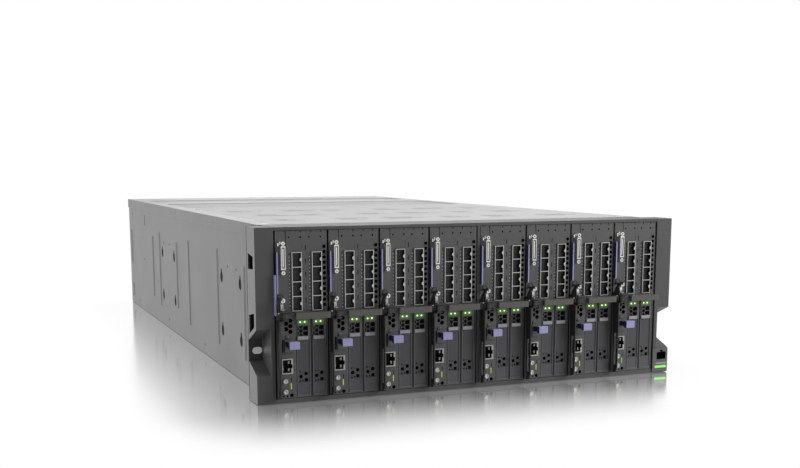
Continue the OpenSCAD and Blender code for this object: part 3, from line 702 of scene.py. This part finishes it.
class CHASSIS_OT_ears(bpy.types.Operator):
    """Finishes both ears, the status box on the right one and the pull tab on the left"""

    bl_idname = "chassis.ears"
    bl_label = "Dress Ears"

    def execute(self, context):
        edge = trim().edge * 1.3
        outer = ("zinc_coated_sheet", lambda c, n: abs(c.x) > EAR_X - mm(0.1) and abs(n.x) > 0.9)
        softened("left_ear", edge, "ear_powder_coat", [outer])
        x0, x1 = WALL_X + mm(1.0), EAR_X - mm(1.2)
        low, high = (WALL_X - mm(2), FACE_Y - mm(2), 0), (EAR_X + 1, FACE_Y - mm(0.8), mm(40))
        box = ("status_box_plastic", within(low, high))
        hole = ("black_plastic", within((x0, FACE_Y - mm(1), mm(14)), (x1, FACE_Y + mm(20), mm(27))))
        softened("right_ear", edge * 0.5, "ear_powder_coat", [box, hole, outer])
        bar = [((x0 + mm(0.1), FACE_Y - mm(1.5), mm(5.2)), (x1 - mm(0.1), FACE_Y - mm(0.7), mm(7.8)))]
        blocks("status_light_bar", bar, "green_light_bar", "chassis", mm(0.2))
        strip = [((x0 + mm(1), FACE_Y - mm(1.56), mm(9.6)), (x1 - mm(0.6), FACE_Y - mm(1.4), mm(11.4)))]
        blocks("status_label", strip, "release_lip_plastic", "chassis", mm(0.04))
        contact = block_shape((mm(0.5), mm(5), mm(0.35)))
        spots = [(WALL_X + mm(5.6 + 1.02 * k), FACE_Y + mm(6), mm(22.7)) for k in range(8)]
        repeat("status_socket_contacts", contact, spots, "gold_flash", "chassis", smooth=False)
        x = bay_x(1)
        tab = [((x - mm(1.6), FACE_Y - mm(5), mm(89)), (x - mm(0.5), FACE_Y, mm(129)))]
        blocks("pull_tab", tab, "touch_plastic", "chassis", mm(0.2))
        return {"FINISHED"}


class CHASSIS_OT_housings(bpy.types.Operator):
    """Finishes the blades' folded housings and adds seams, black strips of painted shade in the gaps, and face
    screws
    """

    bl_idname = "chassis.housings"
    bl_label = "Dress Housings"

    def execute(self, context):
        for i in BAYS:
            body, x = f"blade_{i}", bay_x(i)
            left, right = x + BLADE_LEFT, x + BLADE_LEFT + BLADE_W
            inside = within(
                (left + mm(0.1), FACE_Y + mm(0.05), BLADE_BASE + mm(0.1)),
                (right - mm(0.1), FACE_Y + mm(465), BLADE_TOP - mm(0.1)),
            )
            rules = [
                ("blackened_steel_and_recess_shade", lambda c, n: c.y < FACE_Y - mm(0.05)),
                ("blade_powder_coat", lambda c, n: c.y < FACE_Y + mm(0.05)),
                # The housing's inner faces near black: painted shade inside the blade
                ("interior_painted_shade", inside),
            ]
            paint(NODES[body + "_housing"], "spangled_zinc", rules)

            y = FACE_Y

            def groove(u, width, low, high):
                start = (x + mm(u), y - mm(0.04), BLADE_TOP - mm(low))
                return (start, (x + mm(u + width), y, BLADE_TOP - mm(high)))

            seams = [groove(u, 0.35, 20, 12) for u in (27.6, 48.3)]
            seams += [groove(u, 0.7, 1.4, 0.1) for u in (4.2, 15.4, 20.8, 31.2, 42, 51)]
            blocks(body + "_seams", seams, "blackened_steel_and_recess_shade", body, 0)

            # Near-black strips on both sides of each blade's face: painted shade for the gaps between the
            # blades
            gap_shade_strips = []
            for edge in (left - mm(0.2), right):
                low = (edge, y + mm(0.6), BLADE_BASE + mm(2))
                gap_shade_strips.append((low, (edge + mm(0.2), y + mm(11), BLADE_TOP - mm(1))))
            blocks(body + "_gaskets", gap_shade_strips, "gap_shade_black", body, 0)

            screw = turned_shape([(mm(0.9), mm(-0.7)), (mm(2.0), mm(-0.55)), (mm(2.3), 0)], 16)
            repeat(body + "_face_screw", screw, [on_blade(i, mm(11.3), 0, mm(66.2))], "blade_powder_coat", body)

            head = [(mm(1.9), mm(-0.12)), (mm(2.2), 0)]
            heights = (mm(14), mm(92), BLADE_TOP - mm(12))
            for side, axis, at in (("left", "LEFT", left), ("right", "RIGHT", right)):
                spots = [(at, y + mm(d), z) for d in (60, 190, 320, 450) for z in heights]
                name = f"{body}_{side}_rivets"
                repeat(name, turned_shape(head, 10, axis), spots, "tin_plate", body)
        return {"FINISHED"}


class CHASSIS_OT_fittings(bpy.types.Operator):
    """Finishes cages, jacks, connectors and lever mounts, and adds contacts, dimples and lamps"""

    bl_idname = "chassis.fittings"
    bl_label = "Dress Fittings"

    def execute(self, context):
        for i in BAYS:
            body = f"blade_{i}"
            paint(NODES[body + "_face_fittings"], "tin_plate", self.rules(i))
            radius = trim().dimple
            dimple = turned_shape([(radius * 0.5, mm(-0.3)), (radius, mm(-0.12)), (radius * 1.1, 0)], 8)
            spots = [
                on_blade(i, u - mm(2.6), 0, PORT_Z + mm(1 + 3.7 * k))
                for u in PORT_COLUMNS for k in range(trim().dimples)
            ]
            repeat(body + "_contact_dimples", dimple, spots, "tin_plate", body)

            contact = block_shape((mm(0.45), mm(0.5), mm(0.85)))
            spots = [on_blade(i, mm(7.4), mm(3 + 0.5 * k), mm(33.6 + 1.05 * k)) for k in range(8)]
            repeat(body + "_jack_contacts", contact, spots, "gold_flash", body, smooth=False)
            latch = [blade_box(i, (11.8, 1.2, low), (13.6, 6, high)) for low, high in ((32, 35), (39.6, 42.4))]
            blocks(body + "_jack_springs", latch, "dull_zinc_plate", body, mm(0.2))

            lamp = [blade_box(i, (14.2, 0.1, 13.7), (15.3, 0.7, 20.2))]
            blocks(body + "_status_lamp", lamp, "amber_green_lamp", body, mm(0.1))
            rim = [(mm(1.5), mm(-2.25)), (mm(1.6), mm(-2.35)), (mm(1.9), mm(-2.3)), (mm(2.0), mm(-1.9))]
            spots = [on_blade(i, mm(8.5), 0, mm(z)) for z in (22.3, 11.6)]
            repeat(body + "_cap_heads", turned_shape(rim), spots, "dull_zinc_plate", body)

            catches = [
                blade_box(i, (2.0, -2.6, 157), (3.4, 0, 160)),
                blade_box(i, (3.9, -3.0, 158.2), (4.9, 0, 161.4)),
            ]
            blocks(body + "_cable_catches", catches, "nickel_plate", body, mm(0.25))
            z = LEVER_TOP * 1000
            # A black cross on each lever screw's head: painted shade for its cross recess
            cross = [
                blade_box(i, (3.4, -14.1, z + 11.7), (4.0, -13.9, z + 14.9)),
                blade_box(i, (2.1, -14.1, z + 13), (5.3, -13.9, z + 13.6)),
            ]
            blocks(body + "_screw_cross", cross, "blackened_steel_and_recess_shade", body, 0)
        return {"FINISHED"}

    @staticmethod
    def rules(i):
        """The finish of each fitting of blade i, by its place in millimetres."""
        top, lever = BLADE_TOP * 1000, LEVER_TOP * 1000

        def at(low, high):
            return within(*blade_box(i, low, high))

        ports = []
        for u in PORT_COLUMNS:
            for k in range(PORT_ROWS):
                z = PORT_Z + k * PORT_PITCH
                low = on_blade(i, u - mm(0.05), mm(-1.95), z - mm(0.05))
                high = on_blade(i, u + PORT_W + mm(0.05), mm(5), z + PORT_H + mm(0.05))
                ports.append(("black_plastic", within(low, high)))
        strip = at((0.5, -4, lever + 18.9), (2.1, 0.1, top - 20))
        return ports + [
            # Inside the jack near black: its dark insulator, darkened further by painted shade
            ("interior_painted_shade", at((5.9, -0.95, 29.7), (16.2, 13, 44.9))),
            ("dull_zinc_plate", at((5.2, -1.2, 29), (16.7, 15, 45.6))),
            ("dull_zinc_plate", at((5.4, -4.9, top - 37), (8.7, 0, top - 15.5))),
            ("nickel_plate", at((4.7, -5.7, top - 43), (9.5, 0.1, top - 9))),
            ("tin_plate", at((5.9, -2.2, 8), (11.2, 0.1, 25))),
            ("nickel_plate", at((1.3, -14.2, lever + 10.9), (6.1, -9.8, lever + 15.7))),
            ("touch_plastic_shaded", lambda c, n: n.x < -0.5 and strip(c, n)),
            ("touch_plastic", strip),
            ("dull_zinc_plate", at((1.72, -14, lever + 3.5), (4.6, -5, lever + 13))),
            ("blackened_steel_and_recess_shade", at((0.1, -23, lever + 0.4), (13, 0.1, lever + 19))),
            ("blade_powder_coat", at((2.4, -4.2, 68.5), (7.6, 0.1, 83.2))),
            ("blackened_steel_and_recess_shade", at((4.5, -9.2, 83.2), (11.5, 0.1, lever + 2))),
        ]


class CHASSIS_OT_carriers(bpy.types.Operator):
    """Finishes the drive carriers and adds their lit windows and lamps"""

    bl_idname = "chassis.carriers"
    bl_label = "Dress Carriers"

    def execute(self, context):
        for i in BAYS:
            for side in ("a", "b"):
                self.dress(f"blade_{i}_drive_{side}")
        return {"FINISHED"}

    @staticmethod
    def dress(node):
        low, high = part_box(node)
        foot = low[2] + mm(12.8)

        def inside(centre, normal):
            return centre.y > FACE_Y + mm(2.5) and low[0] + mm(0.3) < centre.x < high[0] - mm(0.3)

        rules = [
            ("release_lip_plastic", lambda c, n: c.y < FACE_Y - mm(0.02) and c.z < high[2] - mm(15)),
            ("spangled_zinc", lambda c, n: c.y > FACE_Y + mm(12.1)),
            # Faces inside the carrier, seen through its slits, near black: painted shade
            ("interior_painted_shade", inside),
            # The band and the front faces of the carrier's frame lighter: painted highlight on their edges
            ("carrier_frame_painted_highlight", lambda c, n: high[2] - mm(17.1) < c.z < high[2] - mm(6.9)),
            ("carrier_foot_plastic", lambda c, n: c.z < foot),
            ("carrier_frame_painted_highlight", lambda c, n: c.y < FACE_Y + mm(0.3)),
        ]
        softened(node, trim().edge * 0.4, "carrier_plastic", rules)

        lamps = [(low[0] + mm(u), high[2] - mm(3)) for u in (3.8, 8.5)]
        bm = bmesh.new()
        glow = bm.verts.layers.float.new("glow")
        columns, rows = 16, 10
        grid = []
        for row in range(rows + 1):
            z = high[2] - mm(0.5) - mm(6.3) * row / rows
            line = []
            for column in range(columns + 1):
                x = low[0] + mm(0.9) + mm(12.2) * column / columns
                vert = bm.verts.new((x, FACE_Y - mm(0.1), z))
                vert[glow] = lamp_glow(x, z, lamps)
                line.append(vert)
            grid.append(line)
        for upper, lower in zip(grid, grid[1:]):
            for k in range(columns):
                bm.faces.new((upper[k], lower[k], lower[k + 1], upper[k + 1]))
        solid = bmesh.ops.extrude_face_region(bm, geom=list(bm.faces))
        moved = [item for item in solid["geom"] if isinstance(item, bmesh.types.BMVert)]
        bmesh.ops.translate(bm, verts=moved, vec=(0, mm(0.1), 0))
        window = to_object(bm, node + "_light_window", glow_finish())
        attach(window, node)
        lens = turned_shape([(mm(0.35), mm(-0.45)), (mm(0.7), mm(-0.3)), (mm(0.85), mm(0.1))], 12)
        spots = [(x, FACE_Y - mm(0.1), z) for x, z in lamps]
        repeat(node + "_lamps", lens, spots, "lamp_lens", node)


class CHASSIS_OT_levers(bpy.types.Operator):
    """Finishes the ejector levers and the release sliders"""

    bl_idname = "chassis.levers"
    bl_label = "Dress Levers"

    def execute(self, context):
        edge = trim().edge
        for i in BAYS:
            x = bay_x(i)
            link = ("blackened_steel_and_recess_shade", lambda c, n: c.x < x + mm(17.4))
            softened(f"blade_{i}_lever", edge, "lever_powder_coat", [link])
            grip = FACE_Y - mm(10.4)
            stem = ("touch_plastic_shaded", lambda c, n: grip < c.y < FACE_Y - mm(2))
            plate = ("blade_powder_coat", lambda c, n: c.y > grip)
            side = ("touch_plastic_shaded", lambda c, n: n.x < -0.9)
            softened(f"blade_{i}_slider", edge * 1.4, "touch_plastic", [side, stem, plate])
        return {"FINISHED"}


class CHASSIS_OT_supplies(bpy.types.Operator):
    """Finishes the power supplies and adds the screws, lamps and inlet linings of the rear"""

    bl_idname = "chassis.supplies"
    bl_label = "Dress Rear"

    def execute(self, context):
        for node in SUPPLIES:
            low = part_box(node)[0]

            def opening(left, right, deep, top):
                start = (low[0] + mm(left), REAR_Y - mm(deep), low[2] + mm(9))
                return within(start, (low[0] + mm(right), REAR_Y - mm(0.1), low[2] + mm(top)))

            inlet, grip = opening(68.5, 96.5, 20, 31), opening(11, 47, 16, 25)
            paint(NODES[node], "spangled_zinc", [("black_plastic", inlet), ("touch_plastic", grip)])
            lamp = turned_shape([(mm(0.8), mm(-0.1)), (mm(1.4), mm(-0.05)), (mm(1.6), mm(0.2))], 16, "BACK")
            spots = [(low[0] + mm(u), REAR_Y, low[2] + mm(33.5)) for u in (54, 60)]
            repeat(node + "_lamps", lamp, spots, "amber_green_lamp", node)
        head = turned_shape([(mm(1.5), mm(-0.15)), (mm(2.7), mm(-0.1)), (mm(3), 0)], 16, "BACK")
        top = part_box("rear_panel")[1][2] - mm(3)
        spots = [(side * x, REAR_Y, top) for side in (-1, 1) for x in (mm(218), mm(70))]
        spots += [(side * mm(218), REAR_Y, mm(87)) for side in (-1, 1)]
        repeat("rear_panel_screws", head, spots, "nickel_plate", "chassis")
        return {"FINISHED"}


class CHASSIS_OT_walls(bpy.types.Operator):
    """Adds the rivets on the enclosure's side walls"""

    bl_idname = "chassis.walls"
    bl_label = "Add Wall Rivets"

    def execute(self, context):
        radius = trim().rivet
        head = [(radius * 0.4, mm(-0.55)), (radius * 0.85, mm(-0.35)), (radius, 0)]
        # Depth from the face and height, in millimetres
        places = [(150, 121), (190, 121), (545, 122), (585, 122), (640, 60), (760, 84), (866, 152)]
        places += [(320, 12), (60, 12), (60, 150), (820, 12), (560, 12)]
        for side, name, axis in ((-1, "left", "LEFT"), (1, "right", "RIGHT")):
            spots = [(side * WALL_X, FACE_Y + mm(depth), mm(z)) for depth, z in places]
            repeat(name + "_wall_rivets", turned_shape(head, 12, axis), spots, "zinc_coated_sheet", "chassis")
        return {"FINISHED"}


OPERATORS = [
    CHASSIS_OT_stage,
    CHASSIS_OT_enclosure,
    CHASSIS_OT_covers,
    CHASSIS_OT_ears,
    CHASSIS_OT_housings,
    CHASSIS_OT_fittings,
    CHASSIS_OT_carriers,
    CHASSIS_OT_levers,
    CHASSIS_OT_supplies,
    CHASSIS_OT_walls,
]


class CHASSIS_PT_dressing(bpy.types.Panel):
    """Lists the settings and the steps in the sidebar"""

    bl_label = "Blade Chassis"
    bl_space_type = "VIEW_3D"
    bl_region_type = "UI"
    bl_category = "Chassis"

    def draw(self, context):
        for group in (context.scene.chassis_colours, context.scene.chassis_trim, context.scene.chassis_stage):
            box = self.layout.box()
            for name in type(group).__annotations__:
                box.prop(group, name)
        for step in OPERATORS:
            self.layout.operator(step.bl_idname)


GROUPS = {"chassis_colours": ChassisColours, "chassis_trim": ChassisTrim, "chassis_stage": ChassisStage}


def register():
    for cls in (*GROUPS.values(), *OPERATORS, CHASSIS_PT_dressing):
        bpy.utils.register_class(cls)
    for name, group in GROUPS.items():
        setattr(bpy.types.Scene, name, PointerProperty(type=group))


def unregister():
    for name in GROUPS:
        delattr(bpy.types.Scene, name)
    for cls in reversed((*GROUPS.values(), *OPERATORS, CHASSIS_PT_dressing)):
        bpy.utils.unregister_class(cls)


def main():
    register()
    bpy.ops.chassis.stage()
    bpy.ops.chassis.enclosure()
    bpy.ops.chassis.covers()
    bpy.ops.chassis.ears()
    bpy.ops.chassis.housings()
    bpy.ops.chassis.fittings()
    bpy.ops.chassis.carriers()
    bpy.ops.chassis.levers()
    bpy.ops.chassis.supplies()
    bpy.ops.chassis.walls()


if __name__ == "__main__":
    main()
